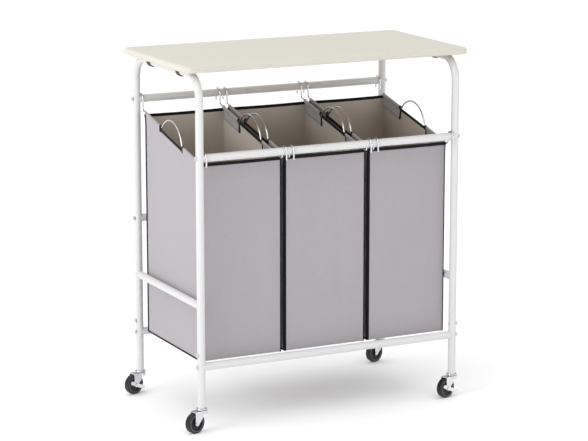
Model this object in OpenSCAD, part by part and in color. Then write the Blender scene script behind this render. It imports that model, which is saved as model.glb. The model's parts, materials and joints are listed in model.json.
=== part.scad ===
// Rolling laundry sorter: three lift-out bags hung from a tube frame under an ironing board.
// The origin is on the floor, midway between the four legs. +Z is up, and bags load from -Y.

/* [Frame] */
// Spacing of the leg centres, left to right
leg_span_x = 686; // [686:1:720]
// Spacing of the leg centres, front to back
leg_span_y = 376; // [376:1:400]
// Outside diameter of every frame tube
tube_d = 19; // [18:0.5:20]
// Wall of the frame tubes
tube_wall = 1; // [0.8:0.1:1.2]
// Bend radius of the upper frames, on the tube's centre line
bend_r = 55; // [45:1:70]
// Height of the lower ends of the legs
leg_foot_z = 59; // [59:1:70]
// Height of the seam between the lower legs and the upper frames
leg_seam_z = 172; // [170:1:176]
// Height of the front and rear bottom rails
bottom_rail_z = 158; // [150:1:158]
// Height of the welded side rails
side_rail_z = 306; // [260:1:400]
// Height of the rear middle rail
middle_rail_z = 449; // [350:1:600]
// Height of the front top rail, which the bags' front hooks hang on
front_rail_z = 661; // [640:1:680]
// Height of the rear top rail, which the bags' rear hooks hang on
rear_rail_z = 748.5; // [730:0.5:760]

/* [Ironing board] */
// Length of the covered board
board_x = 756; // [740:1:800]
// Depth of the covered board
board_y = 388; // [388:1:420]
// Height of the board's underside, which lies on the upper frames
board_z = 863; // [850:1:900]
// Thickness of the wooden panel
panel_t = 12; // [10:0.5:15]
// Thickness of the felt pad on the panel
pad_t = 1.5; // [1:0.1:3]
// Thickness of the cotton cover
cover_t = 1.5; // [1:0.1:2]

/* [Bags] */
// Spacing of the bags, centre to centre
bag_pitch = 227; // [222:1:230]
// Spacing of the two hanger rods of one bag
rod_span = 208; // [200:1:208]
// Depth of a bag, front to back
bag_y = 322; // [300:1:326]
// Height of the bags' undersides
bag_floor_z = 163; // [162:1:240]
// Drop of the rear panel's top edge below the hanger rods' ends
rear_edge_drop = 4; // [2:0.5:12]
// Depth of the edge tape round the bags
tape_w = 9; // [6:0.5:12]
// Wire diameter of the hanger rods
wire_d = 4; // [3:0.5:4]
// Half of the chord of the grip loop in a hanger rod
grip_half = 61.5; // [55:0.5:70]

/* [Casters] */
// Diameter of the caster wheels
wheel_d = 50; // [48:1:50]
// Width of the caster wheels
wheel_w = 15; // [14:0.5:15]
// Distance from the swivel axis to the wheel axle
trail = 22; // [20:1:24]
// Turn of all four casters about their stems, at rest
caster_turn = 18; // [0:1:45]
// Slope of the brake levers at rest, down towards the swivel side
lever_slope = 24; // [10:1:30]

/* [Hidden] */
$fn = 48;
tube_r = tube_d / 2;
bore_r = tube_r - tube_wall;
half_x = leg_span_x / 2;
half_y = leg_span_y / 2;

// Screws that join the frame
screw_r = 3;
screw_hole_r = 3.1;
screw_head_r = 5.2;
screw_head_h = 2.8;
screw_key = 2.3;
joint_screw_z = leg_seam_z + 15;
neck_len = 35;
neck_gap = 0.1;
shoulder_h = 4;
insert_len = 20;
insert_gap = 0.3;
rail_screw_len = tube_d + insert_len;
joint_screw_len = tube_d - 2 * tube_wall;

// Board, its cover and its clips
panel_inset = cover_t;
board_corner_r = 18;
hem_w = 22;
hem_t = 1;
clip_y = 87;
clip_w = 14;
clip_t = 2.5;
clip_gap = 0.2;
clip_foot = 13;
clip_screw_r = 1.8;
clip_screw_head_r = 3.6;
clip_screw_head_h = 1.6;
clip_screw_depth = 9;
clip_screw_step = 4;
board_tube_z = board_z - tube_r;

// Hanger rods, in the plane of a bag's side: their line runs parallel to the rail tops
wire_r = wire_d / 2;
hook_gap = 0.3;
hook_r = tube_r + hook_gap + wire_r;
hook_tip_drop = 20;
hook_bend_r = 7;
rod_drop = 24;
rod_mid_z = (front_rail_z + rear_rail_z) / 2 - rod_drop;
rod_angle = atan2(rear_rail_z - front_rail_z, leg_span_y);
grip_angle = 60;
grip_r = 68;
grip_bend_r = 6;
// The wire's straights run this far into its bends, and are this much thinner
wire_lap = 0.2;
wire_step = 0.01;

// Bag fabric
cloth_t = 1.5;
bag_x = rod_span + 2;
sleeve_r = wire_r + 1.6;
sleeve_bore_r = wire_r + 0.2;
notch_half = grip_half + 4.5;
notch_drop = 3;
front_edge_z = rod_z(-bag_y / 2) - 1.5;
rear_edge_z = rod_z(bag_y / 2) - rear_edge_drop;
tape_proud = 1;
base_t = 3;
base_gap = 3;

// Caster
wheel_r = wheel_d / 2;
axle_r = 3;
run_gap = 0.05;
hub_half = wheel_w / 2 + 0.4;
fork_in = hub_half + 0.3;
fork_t = 1.6;
fork_out = fork_in + fork_t;
crown_z = wheel_d + 1.5;
crown_t = 1.5;
crown_r = 14;
skirt_h = 8;
race_gap = 2;
race_r = 9;
ball_r = 0.95;
ball_count = 14;
plate_r = 13;
plate_z = crown_z + crown_t + race_gap;
socket_flange_t = 2;
plate_t = leg_foot_z - socket_flange_t - plate_z;
stem_r = 4;
stem_len = 36;
socket_len = 38;
kingpin_r = 3;
kingpin_head_r = 5;
kingpin_head_h = 2.2;
axle_head_r = 4.2;
axle_head_h = 1.8;
lever_gap = 0.15;
lever_t = 1.2;
lever_reach = 29.5;
lever_tail = 15;
lever_half_w = 4.5;
pedal_t = 1.6;
pedal_w = 11;

LEFT = -1;
RIGHT = 1;
FRONT = -1;
REAR = 1;

// Height of a hanger rod's line at a distance y in front of or behind the middle
function rod_z(y) = rod_mid_z + y * tan(rod_angle);

// A point on or off the hanger rod's line, as [y, z]: s along the line, h square to it
function rod_point(s, h) = [s * cos(rod_angle) - h * sin(rod_angle),
                            rod_mid_z + s * sin(rod_angle) + h * cos(rod_angle)];

function unit(v) = v / norm(v);
function turn(pts, i) = let (u = unit(pts[i] - pts[i - 1]), v = unit(pts[i + 1] - pts[i]))
    atan2(u[0] * v[1] - u[1] * v[0], u * v);
// Length that a bend takes from each of the two straights that meet at point i
function setback(pts, radii, i) = (i == 0 || i == len(pts) - 1) ? 0
    : radii[i] * tan(abs(turn(pts, i)) / 2);

// Round bar of radius r along a flat path in the YZ plane, with a bend radius at each point.
// Its straights run lap into the bends, and are step thinner.
module bent_bar(pts, radii, r, lap = 0, step = 0) {
    rotate([90, 0, 90]) {
        for (i = [0 : len(pts) - 2]) {
            u = unit(pts[i + 1] - pts[i]);
            a = pts[i] + u * (setback(pts, radii, i) - (i > 0 ? lap : 0));
            b = pts[i + 1] - u * (setback(pts, radii, i + 1) - (i < len(pts) - 2 ? lap : 0));
            translate([a[0], a[1], 0]) rotate([0, 90, atan2(u[1], u[0])])
                cylinder(r = r - step, h = norm(b - a));
        }
        for (i = [1 : 1 : len(pts) - 2]) {
            u = unit(pts[i] - pts[i - 1]);
            t = turn(pts, i);
            side = t > 0 ? 1 : -1;
            c = pts[i] - u * setback(pts, radii, i) + side * radii[i] * [-u[1], u[0]];
            from = atan2(u[1], u[0]) - side * 90 + (t > 0 ? 0 : t);
            translate([c[0], c[1], 0]) rotate([0, 0, from])
                rotate_extrude(angle = abs(t)) translate([radii[i], 0]) circle(r = r);
        }
    }
}

module bar_x(r, length) { rotate([0, 90, 0]) cylinder(r = r, h = length, center = true); }
module bar_y(r, length) { rotate([90, 0, 0]) cylinder(r = r, h = length, center = true); }

// Rectangle with round corners, centred, as a slab from z = 0 up
module round_slab(x, y, r, t) {
    linear_extrude(t) union() {
        square([x - 2 * r, y], center = true);
        square([x, y - 2 * r], center = true);
        for (sx = [-1, 1], sy = [-1, 1])
            translate([sx * (x / 2 - r), sy * (y / 2 - r)]) circle(r = r);
    }
}

// Frame ---------------------------------------------------------------------------------

function frame_path(foot) = [[-half_y, foot], [-half_y, board_tube_z],
                             [half_y, board_tube_z], [half_y, foot]];

module screw_hole(side, y, z) { translate([side * half_x, y, z]) bar_x(screw_hole_r, 2 * tube_d); }

module upper_frame(side) {
    color("whitesmoke") difference() {
        translate([side * half_x, 0, 0])
            bent_bar(frame_path(leg_seam_z), [0, bend_r, bend_r, 0], tube_r);
        translate([side * half_x, 0, 0])
            bent_bar(frame_path(leg_seam_z - 1), [0, bend_r, bend_r, 0], bore_r);
        screw_hole(side, -half_y, front_rail_z);
        screw_hole(side, half_y, rear_rail_z);
        screw_hole(side, half_y, middle_rail_z);
        for (y = [-half_y, half_y]) screw_hole(side, y, joint_screw_z);
    }
}

// Welded between the legs of one upper frame, its ends cut to fit round them
module side_rail(side) {
    color("whitesmoke") translate([side * half_x, 0, side_rail_z]) difference() {
        bar_y(tube_r, leg_span_y);
        bar_y(bore_r, leg_span_y + 2);
        for (y = [-half_y, half_y])
            translate([0, y, 0]) cylinder(r = tube_r, h = 2 * tube_d, center = true);
    }
}

module lower_leg(side, end) {
    neck_r = bore_r - neck_gap;
    neck_bore_r = neck_r - tube_wall;
    color("whitesmoke") difference() {
        translate([side * half_x, end * half_y, 0]) difference() {
            union() {
                translate([0, 0, leg_foot_z]) cylinder(r = tube_r, h = leg_seam_z - leg_foot_z);
                translate([0, 0, leg_seam_z - 1]) cylinder(r = neck_r, h = neck_len + 1);
            }
            translate([0, 0, leg_foot_z - 1])
                cylinder(r = bore_r, h = leg_seam_z - shoulder_h - leg_foot_z + 1);
            translate([0, 0, leg_foot_z]) cylinder(r = neck_bore_r, h = 2 * leg_seam_z);
        }
        screw_hole(side, end * half_y, bottom_rail_z);
        screw_hole(side, end * half_y, joint_screw_z);
    }
}

// Cross rail between the left and right legs, its ends cut to fit round them
module cross_rail(y, z) {
    color("whitesmoke") translate([0, y, z]) difference() {
        bar_x(tube_r, leg_span_x);
        bar_x(bore_r, leg_span_x + 2);
        for (side = [LEFT, RIGHT]) translate([side * half_x, 0, 0])
            cylinder(r = tube_r, h = 2 * tube_d, center = true);
    }
}

// Height and front-to-back place of every cross rail, as [y, z]
RAILS = [[-half_y, front_rail_z], [-half_y, bottom_rail_z], [half_y, rear_rail_z],
         [half_y, middle_rail_z], [half_y, bottom_rail_z]];

// Threaded plugs pressed into both ends of each cross rail
module rail_inserts() {
    color("dimgray") for (rail = RAILS, side = [LEFT, RIGHT])
        translate([side * (half_x - tube_r - insert_gap - insert_len / 2), rail[0], rail[1]])
            difference() {
                bar_x(bore_r, insert_len);
                bar_x(screw_r, insert_len + 2);
            }
}

// Pan-head screw driven in from the outer side of a leg
module frame_screw(side, y, z, length) {
    translate([side * (half_x + tube_r), y, z]) rotate([0, side * 90, 0]) difference() {
        union() {
            cylinder(r = screw_head_r, h = screw_head_h);
            translate([0, 0, -length]) cylinder(r = screw_r, h = length + 1);
        }
        translate([0, 0, screw_head_h - 1.8]) cylinder(r = screw_key, h = 2, $fn = 6);
        // The head's seat follows the round tube
        rotate([90, 0, 0]) translate([0, -tube_r, 0])
            difference() {
                rotate([0, 90, 0]) cylinder(r = tube_r, h = 3 * tube_d, center = true);
                rotate([90, 0, 0]) cylinder(r = screw_r, h = 3 * tube_d, center = true);
            }
    }
}

module rail_screws() {
    color("silver") for (rail = RAILS, side = [LEFT, RIGHT])
        frame_screw(side, rail[0], rail[1], rail_screw_len);
}

module leg_joint_screws() {
    color("silver") for (side = [LEFT, RIGHT], end = [FRONT, REAR])
        frame_screw(side, end * half_y, joint_screw_z, joint_screw_len);
}

// Ironing board -------------------------------------------------------------------------

CLIP_SCREW_X = tube_r + clip_gap + clip_t + clip_foot / 2;

module at_clip_screws() {
    for (side = [LEFT, RIGHT], y = [-clip_y, clip_y], step = [-clip_screw_step, clip_screw_step])
        translate([side * (half_x - CLIP_SCREW_X), y + step, board_z]) children();
}

module board_panel() {
    color("burlywood") difference() {
        translate([0, 0, board_z])
            round_slab(board_x - 2 * panel_inset, board_y - 2 * panel_inset,
                       board_corner_r - panel_inset, panel_t);
        at_clip_screws() translate([0, 0, -1]) cylinder(r = clip_screw_r, h = clip_screw_depth + 1);
    }
}

module board_pad() {
    color("gainsboro") translate([0, 0, board_z + panel_t])
        round_slab(board_x - 2 * panel_inset, board_y - 2 * panel_inset,
                   board_corner_r - panel_inset, pad_t);
}

// Fitted cover: over the pad and the edges, with a hem that turns in under the panel
module board_cover() {
    inner_h = panel_t + pad_t;
    color("antiquewhite") difference() {
        translate([0, 0, board_z - hem_t])
            round_slab(board_x, board_y, board_corner_r, hem_t + inner_h + cover_t);
        translate([0, 0, board_z])
            round_slab(board_x - 2 * cover_t, board_y - 2 * cover_t,
                       board_corner_r - cover_t, inner_h);
        translate([0, 0, board_z - hem_t - 1])
            round_slab(board_x - 2 * hem_w, board_y - 2 * hem_w, board_corner_r, hem_t + 2);
    }
}

// Saddle that grips the top tube of one upper frame, with its foot on the inner side
module board_clip(side, y) {
    inner = tube_r + clip_gap;
    outer = inner + clip_t;
    leg_h = board_z - hem_t - 0.1 - board_tube_z;
    translate([side * half_x, y, board_tube_z]) {
        difference() {
            union() {
                bar_y(outer, clip_w);
                translate([-outer, -clip_w / 2, 0]) cube([2 * outer, clip_w, leg_h]);
            }
            bar_y(inner, clip_w + 2);
            translate([-inner, -clip_w, 0]) cube([2 * inner, 2 * clip_w, 2 * leg_h]);
        }
        difference() {
            translate([side > 0 ? -outer - clip_foot : outer - 1, -clip_w / 2, tube_r - clip_t])
                cube([clip_foot + 1, clip_w, clip_t]);
            for (step = [-clip_screw_step, clip_screw_step])
                translate([-side * CLIP_SCREW_X, step, 0]) cylinder(r = clip_screw_r, h = 2 * tube_r);
        }
    }
}

module board_clips() {
    color("black") for (side = [LEFT, RIGHT], y = [-clip_y, clip_y]) board_clip(side, y);
}

module board_clip_screws() {
    color("silver") at_clip_screws() {
        translate([0, 0, -clip_t]) cylinder(r = clip_screw_r, h = clip_screw_depth + clip_t);
        translate([0, 0, -clip_t - clip_screw_head_h])
            cylinder(r = clip_screw_head_r, h = clip_screw_head_h);
    }
}

// Casters: drawn with the swivel axis on Z and the wheel trailing towards +X -------------

module at_corner(side, end) {
    translate([side * half_x, end * half_y, 0]) rotate([0, 0, 180 + caster_turn]) children();
}

// Sleeves pressed into the lower ends of the legs, which hold the caster stems
module caster_sockets() {
    color("gray") for (side = [LEFT, RIGHT], end = [FRONT, REAR])
        translate([side * half_x, end * half_y, leg_foot_z]) difference() {
            union() {
                translate([0, 0, -socket_flange_t]) cylinder(r = tube_r, h = socket_flange_t);
                cylinder(r = bore_r, h = socket_len);
            }
            translate([0, 0, -socket_flange_t - 1]) cylinder(r = stem_r, h = 2 * socket_len);
        }
}

// Loose balls between each stem's plate and its fork's crown
module caster_balls() {
    color("silver") for (side = [LEFT, RIGHT], end = [FRONT, REAR], i = [0 : ball_count - 1])
        translate([side * half_x, end * half_y, crown_z + crown_t + race_gap / 2])
            rotate([0, 0, i * 360 / ball_count]) translate([race_r, 0, 0]) sphere(r = ball_r);
}

// Plug-in stem with the upper plate and the kingpin that carries the fork
module caster_stem(side, end) {
    color("silver") at_corner(side, end) {
        translate([0, 0, plate_z]) cylinder(r = plate_r, h = plate_t);
        translate([0, 0, plate_z + plate_t - 0.5]) cylinder(r = stem_r, h = stem_len);
        translate([0, 0, crown_z - run_gap]) cylinder(r = kingpin_r, h = plate_z - crown_z + 1);
        translate([0, 0, crown_z - run_gap - kingpin_head_h])
            cylinder(r = kingpin_head_r, h = kingpin_head_h);
    }
}

// Stamped fork: crown, front skirt and two legs that taper to the axle
module caster_fork(side, end) {
    leg_back = trail + 5.5;
    leg_front = 2;
    eye_r = 6;
    color("silver") at_corner(side, end) difference() {
        union() {
            translate([0, 0, crown_z]) cylinder(r = crown_r, h = crown_t);
            translate([0, -fork_out, crown_z]) cube([leg_back, 2 * fork_out, crown_t]);
            difference() {
                translate([0, 0, crown_z + crown_t - skirt_h]) cylinder(r = crown_r, h = skirt_h);
                translate([0, 0, crown_z - skirt_h]) cylinder(r = crown_r - fork_t, h = skirt_h);
                translate([leg_front, -2 * crown_r, 0]) cube([4 * crown_r, 4 * crown_r, crown_z]);
            }
            for (w = [-fork_out, fork_in]) translate([0, w + fork_t, 0]) rotate([90, 0, 0]) {
                linear_extrude(fork_t) polygon([[leg_front, crown_z + crown_t],
                    [leg_back, crown_z + crown_t], [trail + eye_r, wheel_r],
                    [trail - eye_r + 1, wheel_r - 3], [leg_front + 1, wheel_r + 13]]);
                translate([trail, wheel_r, 0]) cylinder(r = eye_r, h = fork_t);
            }
        }
        translate([0, 0, crown_z - skirt_h]) cylinder(r = kingpin_r + run_gap, h = 2 * skirt_h);
        translate([trail, 0, wheel_r]) bar_y(axle_r, 4 * fork_out);
    }
}

// Riveted axle; on a braked caster it is longer, to carry the lever's cheeks
module caster_axle(side, end, braked) {
    half = fork_out + (braked ? 2 * lever_gap + lever_t : 0);
    color("silver") at_corner(side, end) translate([trail, 0, wheel_r]) {
        bar_y(axle_r, 2 * half + 2);
        for (s = [-1, 1]) translate([0, s * (half + axle_head_h / 2), 0])
            bar_y(axle_head_r, axle_head_h);
    }
}

// Moulded wheel: rounded tread, a groove round each face and a raised hub
module caster_wheel(side, end) {
    edge = 1.8;
    half = wheel_w / 2;
    color("dimgray") at_corner(side, end) translate([trail, 0, wheel_r]) rotate([90, 0, 0])
        rotate_extrude() polygon([[axle_r + run_gap, -hub_half], [8, -hub_half],
            [9, -half + 2.5], [17, -half + 2.5], [18, -half], [wheel_r - edge, -half],
            [wheel_r - edge * 0.3, -half + edge * 0.3], [wheel_r, -half + edge],
            [wheel_r, half - edge], [wheel_r - edge * 0.3, half - edge * 0.3],
            [wheel_r - edge, half], [18, half], [17, half - 2.5], [9, half - 2.5],
            [8, hub_half], [axle_r + run_gap, hub_half]]);
}

// Lever with a cheek on each side of the fork and a pedal that joins them past the wheel
module caster_brake(side, end) {
    cheek_in = fork_out + lever_gap;
    cheek_out = cheek_in + lever_t;
    color("gainsboro") at_corner(side, end) translate([trail, 0, wheel_r])
        rotate([0, -lever_slope, 0]) difference() {
            union() {
                for (w = [-cheek_out, cheek_in]) translate([0, w + lever_t, 0]) rotate([90, 0, 0]) {
                    cylinder(r = 6, h = lever_t);
                    translate([lever_tail, 0, 0]) cylinder(r = lever_half_w, h = lever_t);
                    translate([-lever_reach, -lever_half_w, 0])
                        cube([lever_reach + lever_tail, 2 * lever_half_w, lever_t]);
                }
                translate([-lever_reach, -cheek_out, -lever_half_w])
                    cube([pedal_t, 2 * cheek_out, 2 * lever_half_w]);
                translate([-lever_reach - pedal_w + pedal_t, -cheek_out, lever_half_w - pedal_t])
                    cube([pedal_w, 2 * cheek_out, pedal_t]);
            }
            bar_y(axle_r + run_gap, 4 * cheek_out);
        }
}

// Bags ----------------------------------------------------------------------------------

// Outline of a bag's side, with its sloping top edge on the hanger rod's line
module side_outline(grow, floor_z, lift) {
    y = bag_y / 2 + grow;
    polygon([[-y, floor_z], [y, floor_z], [y, rod_z(y) + lift], [-y, rod_z(-y) + lift]]);
}

// Block of a bag's shape, as wide as x
module bag_block(x, grow, floor_z, lift) {
    rotate([90, 0, 90]) translate([0, 0, -x / 2]) linear_extrude(x)
        side_outline(grow, floor_z, lift);
}

// Moves children to the line of a hanger rod, with +X of the children along the rod
module on_rod(side) {
    translate([side * rod_span / 2, 0, rod_mid_z]) rotate([rod_angle, 0, 0]) children();
}

// Fabric body of a bag, open at the top, with a sleeve on each side for its hanger rod
module bag_shell(i) {
    color("rosybrown") translate([i * bag_pitch, 0, 0]) difference() {
        union() {
            bag_block(bag_x, 0, bag_floor_z, 0);
            intersection() {
                for (side = [LEFT, RIGHT]) on_rod(side) bar_y(sleeve_r, 2 * bag_y);
                bag_block(2 * bag_x, 0, bag_floor_z, 2 * tube_d);
            }
        }
        bag_block(bag_x - 2 * cloth_t, -cloth_t, bag_floor_z + cloth_t, 4 * tube_d);
        for (side = [LEFT, RIGHT]) on_rod(side) {
            bar_y(sleeve_bore_r, 2 * bag_y);
            translate([-bag_x / 8, -notch_half, -notch_drop]) cube([bag_x / 4, 2 * notch_half, tube_d]);
        }
        translate([-rod_span / 2 + sleeve_r, -bag_y, front_edge_z])
            cube([rod_span - 2 * sleeve_r, bag_y, rear_rail_z]);
        translate([-rod_span / 2 + sleeve_r, 0, rear_edge_z])
            cube([rod_span - 2 * sleeve_r, bag_y, rear_rail_z]);
    }
}

// Edge tape: up the four corners, under both sides, and along the front and rear top edges
module bag_tape(i) {
    x = bag_x / 2 + tape_proud;
    y = bag_y / 2 + tape_proud;
    top_z = [front_edge_z, rear_edge_z];
    color("black") translate([i * bag_pitch, 0, 0]) difference() {
        union() {
            for (sx = [-1, 1], sy = [0, 1])
                translate([sx * x, (2 * sy - 1) * y, (bag_floor_z + top_z[sy]) / 2])
                    cube([tape_w, tape_w, top_z[sy] - bag_floor_z], center = true);
            for (sx = [-1, 1]) translate([sx * x, 0, bag_floor_z + tape_w / 4])
                cube([tape_w, 2 * y, tape_w / 2], center = true);
            for (sy = [0, 1]) translate([0, (2 * sy - 1) * y, top_z[sy] - tape_w / 2])
                cube([2 * x, tape_w, tape_w], center = true);
        }
        bag_block(bag_x, 0, bag_floor_z - 1, 4 * tube_d);
        difference() {
            translate([0, 0, rear_rail_z / 2])
                cube([4 * x, 4 * y, 2 * rear_rail_z], center = true);
            translate([0, 0, rear_rail_z / 2])
                cube([2 * x, 2 * y, 2 * rear_rail_z], center = true);
        }
    }
}

// Stiff board on the bag's floor
module bag_base(i) {
    color("gray") translate([i * bag_pitch, 0, bag_floor_z + cloth_t + base_t / 2])
        cube([bag_x - 2 * (cloth_t + base_gap), bag_y - 2 * (cloth_t + base_gap), base_t],
             center = true);
}

// Path of a hanger rod: front hook, sleeve straight, grip loop, sleeve straight, rear hook
function rod_path() = let (
    yf = -half_y, yr = half_y,
    apex = grip_half * tan(grip_angle)
) [[yf - hook_r, front_rail_z - hook_tip_drop], [yf - hook_r, front_rail_z + hook_r],
   [yf + hook_r, front_rail_z + hook_r], [yf + hook_r, rod_z(yf + hook_r)],
   rod_point(-grip_half, 0), rod_point(0, apex), rod_point(grip_half, 0),
   [yr - hook_r, rod_z(yr - hook_r)], [yr - hook_r, rear_rail_z + hook_r],
   [yr + hook_r, rear_rail_z + hook_r], [yr + hook_r, rear_rail_z - hook_tip_drop]];
ROD_BENDS = [0, hook_r, hook_r, hook_bend_r, grip_bend_r, grip_r, grip_bend_r, hook_bend_r,
             hook_r, hook_r, 0];

module bag_rod(i, side) {
    color("silver") translate([i * bag_pitch + side * rod_span / 2, 0, 0])
        bent_bar(rod_path(), ROD_BENDS, wire_r, wire_lap, wire_step);
}

upper_frame(LEFT);  // upper_frame_left
upper_frame(RIGHT);  // upper_frame_right
side_rail(LEFT);  // side_rail_left
side_rail(RIGHT);  // side_rail_right
lower_leg(LEFT, FRONT);  // lower_leg_front_left
lower_leg(RIGHT, FRONT);  // lower_leg_front_right
lower_leg(LEFT, REAR);  // lower_leg_rear_left
lower_leg(RIGHT, REAR);  // lower_leg_rear_right
cross_rail(-half_y, front_rail_z);  // front_top_rail
cross_rail(-half_y, bottom_rail_z);  // front_bottom_rail
cross_rail(half_y, rear_rail_z);  // rear_top_rail
cross_rail(half_y, middle_rail_z);  // rear_middle_rail
cross_rail(half_y, bottom_rail_z);  // rear_bottom_rail
rail_inserts();
rail_screws();
leg_joint_screws();
board_panel();
board_pad();
board_cover();
board_clips();
board_clip_screws();
caster_sockets();
caster_balls();
caster_stem(LEFT, FRONT);  // caster_front_left_stem
caster_fork(LEFT, FRONT);  // caster_front_left_fork
caster_axle(LEFT, FRONT, false);  // caster_front_left_axle
caster_wheel(LEFT, FRONT);  // caster_front_left_wheel
caster_stem(RIGHT, FRONT);  // caster_front_right_stem
caster_fork(RIGHT, FRONT);  // caster_front_right_fork
caster_axle(RIGHT, FRONT, true);  // caster_front_right_axle
caster_wheel(RIGHT, FRONT);  // caster_front_right_wheel
caster_brake(RIGHT, FRONT);  // caster_front_right_brake
caster_stem(LEFT, REAR);  // caster_rear_left_stem
caster_fork(LEFT, REAR);  // caster_rear_left_fork
caster_axle(LEFT, REAR, true);  // caster_rear_left_axle
caster_wheel(LEFT, REAR);  // caster_rear_left_wheel
caster_brake(LEFT, REAR);  // caster_rear_left_brake
caster_stem(RIGHT, REAR);  // caster_rear_right_stem
caster_fork(RIGHT, REAR);  // caster_rear_right_fork
caster_axle(RIGHT, REAR, false);  // caster_rear_right_axle
caster_wheel(RIGHT, REAR);  // caster_rear_right_wheel
bag_shell(-1);  // bag_left_shell
bag_tape(-1);  // bag_left_tape
bag_base(-1);  // bag_left_base
bag_rod(-1, LEFT);  // bag_left_rod_a
bag_rod(-1, RIGHT);  // bag_left_rod_b
bag_shell(0);  // bag_centre_shell
bag_tape(0);  // bag_centre_tape
bag_base(0);  // bag_centre_base
bag_rod(0, LEFT);  // bag_centre_rod_a
bag_rod(0, RIGHT);  // bag_centre_rod_b
bag_shell(1);  // bag_right_shell
bag_tape(1);  // bag_right_tape
bag_base(1);  // bag_right_base
bag_rod(1, LEFT);  // bag_right_rod_a
bag_rod(1, RIGHT);  // bag_right_rod_b
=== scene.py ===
import json
import math

import bpy
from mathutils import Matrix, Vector, noise

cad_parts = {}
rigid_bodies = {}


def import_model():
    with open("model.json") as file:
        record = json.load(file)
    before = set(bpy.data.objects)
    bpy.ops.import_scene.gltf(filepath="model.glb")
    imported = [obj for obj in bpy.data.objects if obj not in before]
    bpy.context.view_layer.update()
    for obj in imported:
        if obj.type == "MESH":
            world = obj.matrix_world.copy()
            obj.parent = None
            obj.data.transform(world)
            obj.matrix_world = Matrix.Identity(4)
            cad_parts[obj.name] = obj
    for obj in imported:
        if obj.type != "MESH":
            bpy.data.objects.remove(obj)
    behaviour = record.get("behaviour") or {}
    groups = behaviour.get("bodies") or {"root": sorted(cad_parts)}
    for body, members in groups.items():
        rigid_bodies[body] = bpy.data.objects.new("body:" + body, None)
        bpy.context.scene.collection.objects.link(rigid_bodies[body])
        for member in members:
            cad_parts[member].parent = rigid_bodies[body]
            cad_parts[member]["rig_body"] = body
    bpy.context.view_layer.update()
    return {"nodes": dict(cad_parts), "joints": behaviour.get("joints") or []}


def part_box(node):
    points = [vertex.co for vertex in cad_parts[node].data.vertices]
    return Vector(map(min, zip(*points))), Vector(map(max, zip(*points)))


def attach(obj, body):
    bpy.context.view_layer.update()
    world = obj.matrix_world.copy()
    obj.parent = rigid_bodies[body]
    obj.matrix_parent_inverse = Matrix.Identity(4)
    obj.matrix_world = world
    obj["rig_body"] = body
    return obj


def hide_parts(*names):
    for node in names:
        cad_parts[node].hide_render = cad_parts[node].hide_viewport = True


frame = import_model()

MM = 0.001
SIDES = {"left": -1, "right": 1}
ENDS = {"front": -1, "rear": 1}
BAGS = {"left": -1, "centre": 0, "right": 1}


def middle(node):
    low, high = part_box(node)
    return (low + high) / 2


# Camera -----------------------------------------------------------------------------------

AZIMUTH = math.radians(-26.42)
ELEVATION = math.radians(12.01)
DISTANCE = 5.911
AIM_ASIDE = -0.0037
AIM_HEIGHT = 0.4455
SENSOR_WIDTH = 36  # in mm, like the lens
LENS = 145.98


def make_camera():
    data = bpy.data.cameras.new("camera")
    data.sensor_width = SENSOR_WIDTH
    data.lens = LENS
    camera = bpy.data.objects.new("camera", data)
    bpy.context.scene.collection.objects.link(camera)
    aim = Vector((AIM_ASIDE * math.cos(AZIMUTH), AIM_ASIDE * math.sin(AZIMUTH), AIM_HEIGHT))
    back = Vector((math.sin(AZIMUTH) * math.cos(ELEVATION), -math.cos(AZIMUTH) * math.cos(ELEVATION),
                   math.sin(ELEVATION)))
    camera.location = aim + back * DISTANCE
    camera.rotation_mode = "QUATERNION"
    camera.rotation_quaternion = (-back).to_track_quat("-Z", "Y")
    bpy.context.scene.camera = camera


# Materials ----------------------------------------------------------------------------------


class Nodes:
    """A material's node tree, with short ways to add and link nodes."""

    def __init__(self, name, **sockets):
        self.material = bpy.data.materials.new(name)
        self.material.use_nodes = True
        self.tree = self.material.node_tree
        self.shader = self.tree.nodes["Principled BSDF"]
        for socket, value in sockets.items():
            self.shader.inputs[socket.replace("_", " ")].default_value = value
        self.coordinates = self.add("ShaderNodeTexCoord")

    def add(self, kind, **inputs):
        node = self.tree.nodes.new(kind)
        for socket, value in inputs.items():
            self.put(node.inputs[socket.replace("_", " ")], value)
        return node

    def put(self, socket, value):
        if isinstance(value, bpy.types.NodeSocket):
            self.tree.links.new(value, socket)
        else:
            socket.default_value = value

    def math(self, operation, a, b=0.0):
        node = self.tree.nodes.new("ShaderNodeMath")
        node.operation = operation
        self.put(node.inputs[0], a)
        self.put(node.inputs[1], b)
        return node.outputs[0]

    def noise(self, scale, detail=2.0, place="Object", stretch=None):
        where = self.coordinates.outputs[place]
        if stretch:
            where = self.add("ShaderNodeMapping", Vector=where, Scale=stretch).outputs[0]
        node = self.add("ShaderNodeTexNoise", Vector=where, Scale=scale, Detail=detail)
        return node.outputs["Fac"]

    def ramp(self, value, low, high, start=0.0, end=1.0):
        """value between start and end, spread over low to high."""
        node = self.add("ShaderNodeMapRange")
        for socket, number in zip(node.inputs, (value, start, end, low, high)):
            self.put(socket, number)
        return node.outputs[0]

    def mix(self, share, a, b):
        node = self.tree.nodes.new("ShaderNodeMix")
        node.data_type = "RGBA"
        self.put(node.inputs[0], share)
        self.put(node.inputs[6], a)
        self.put(node.inputs[7], b)
        return node.outputs[2]

    def set(self, socket, value):
        self.put(self.shader.inputs[socket], value)

    def bump(self, height, distance, strength=1.0):
        node = self.add("ShaderNodeBump", Height=height, Distance=distance, Strength=strength)
        self.set("Normal", node.outputs[0])


def shade(colour, factor):
    return tuple(min(1.0, c * factor) for c in colour) + (1.0,)


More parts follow.
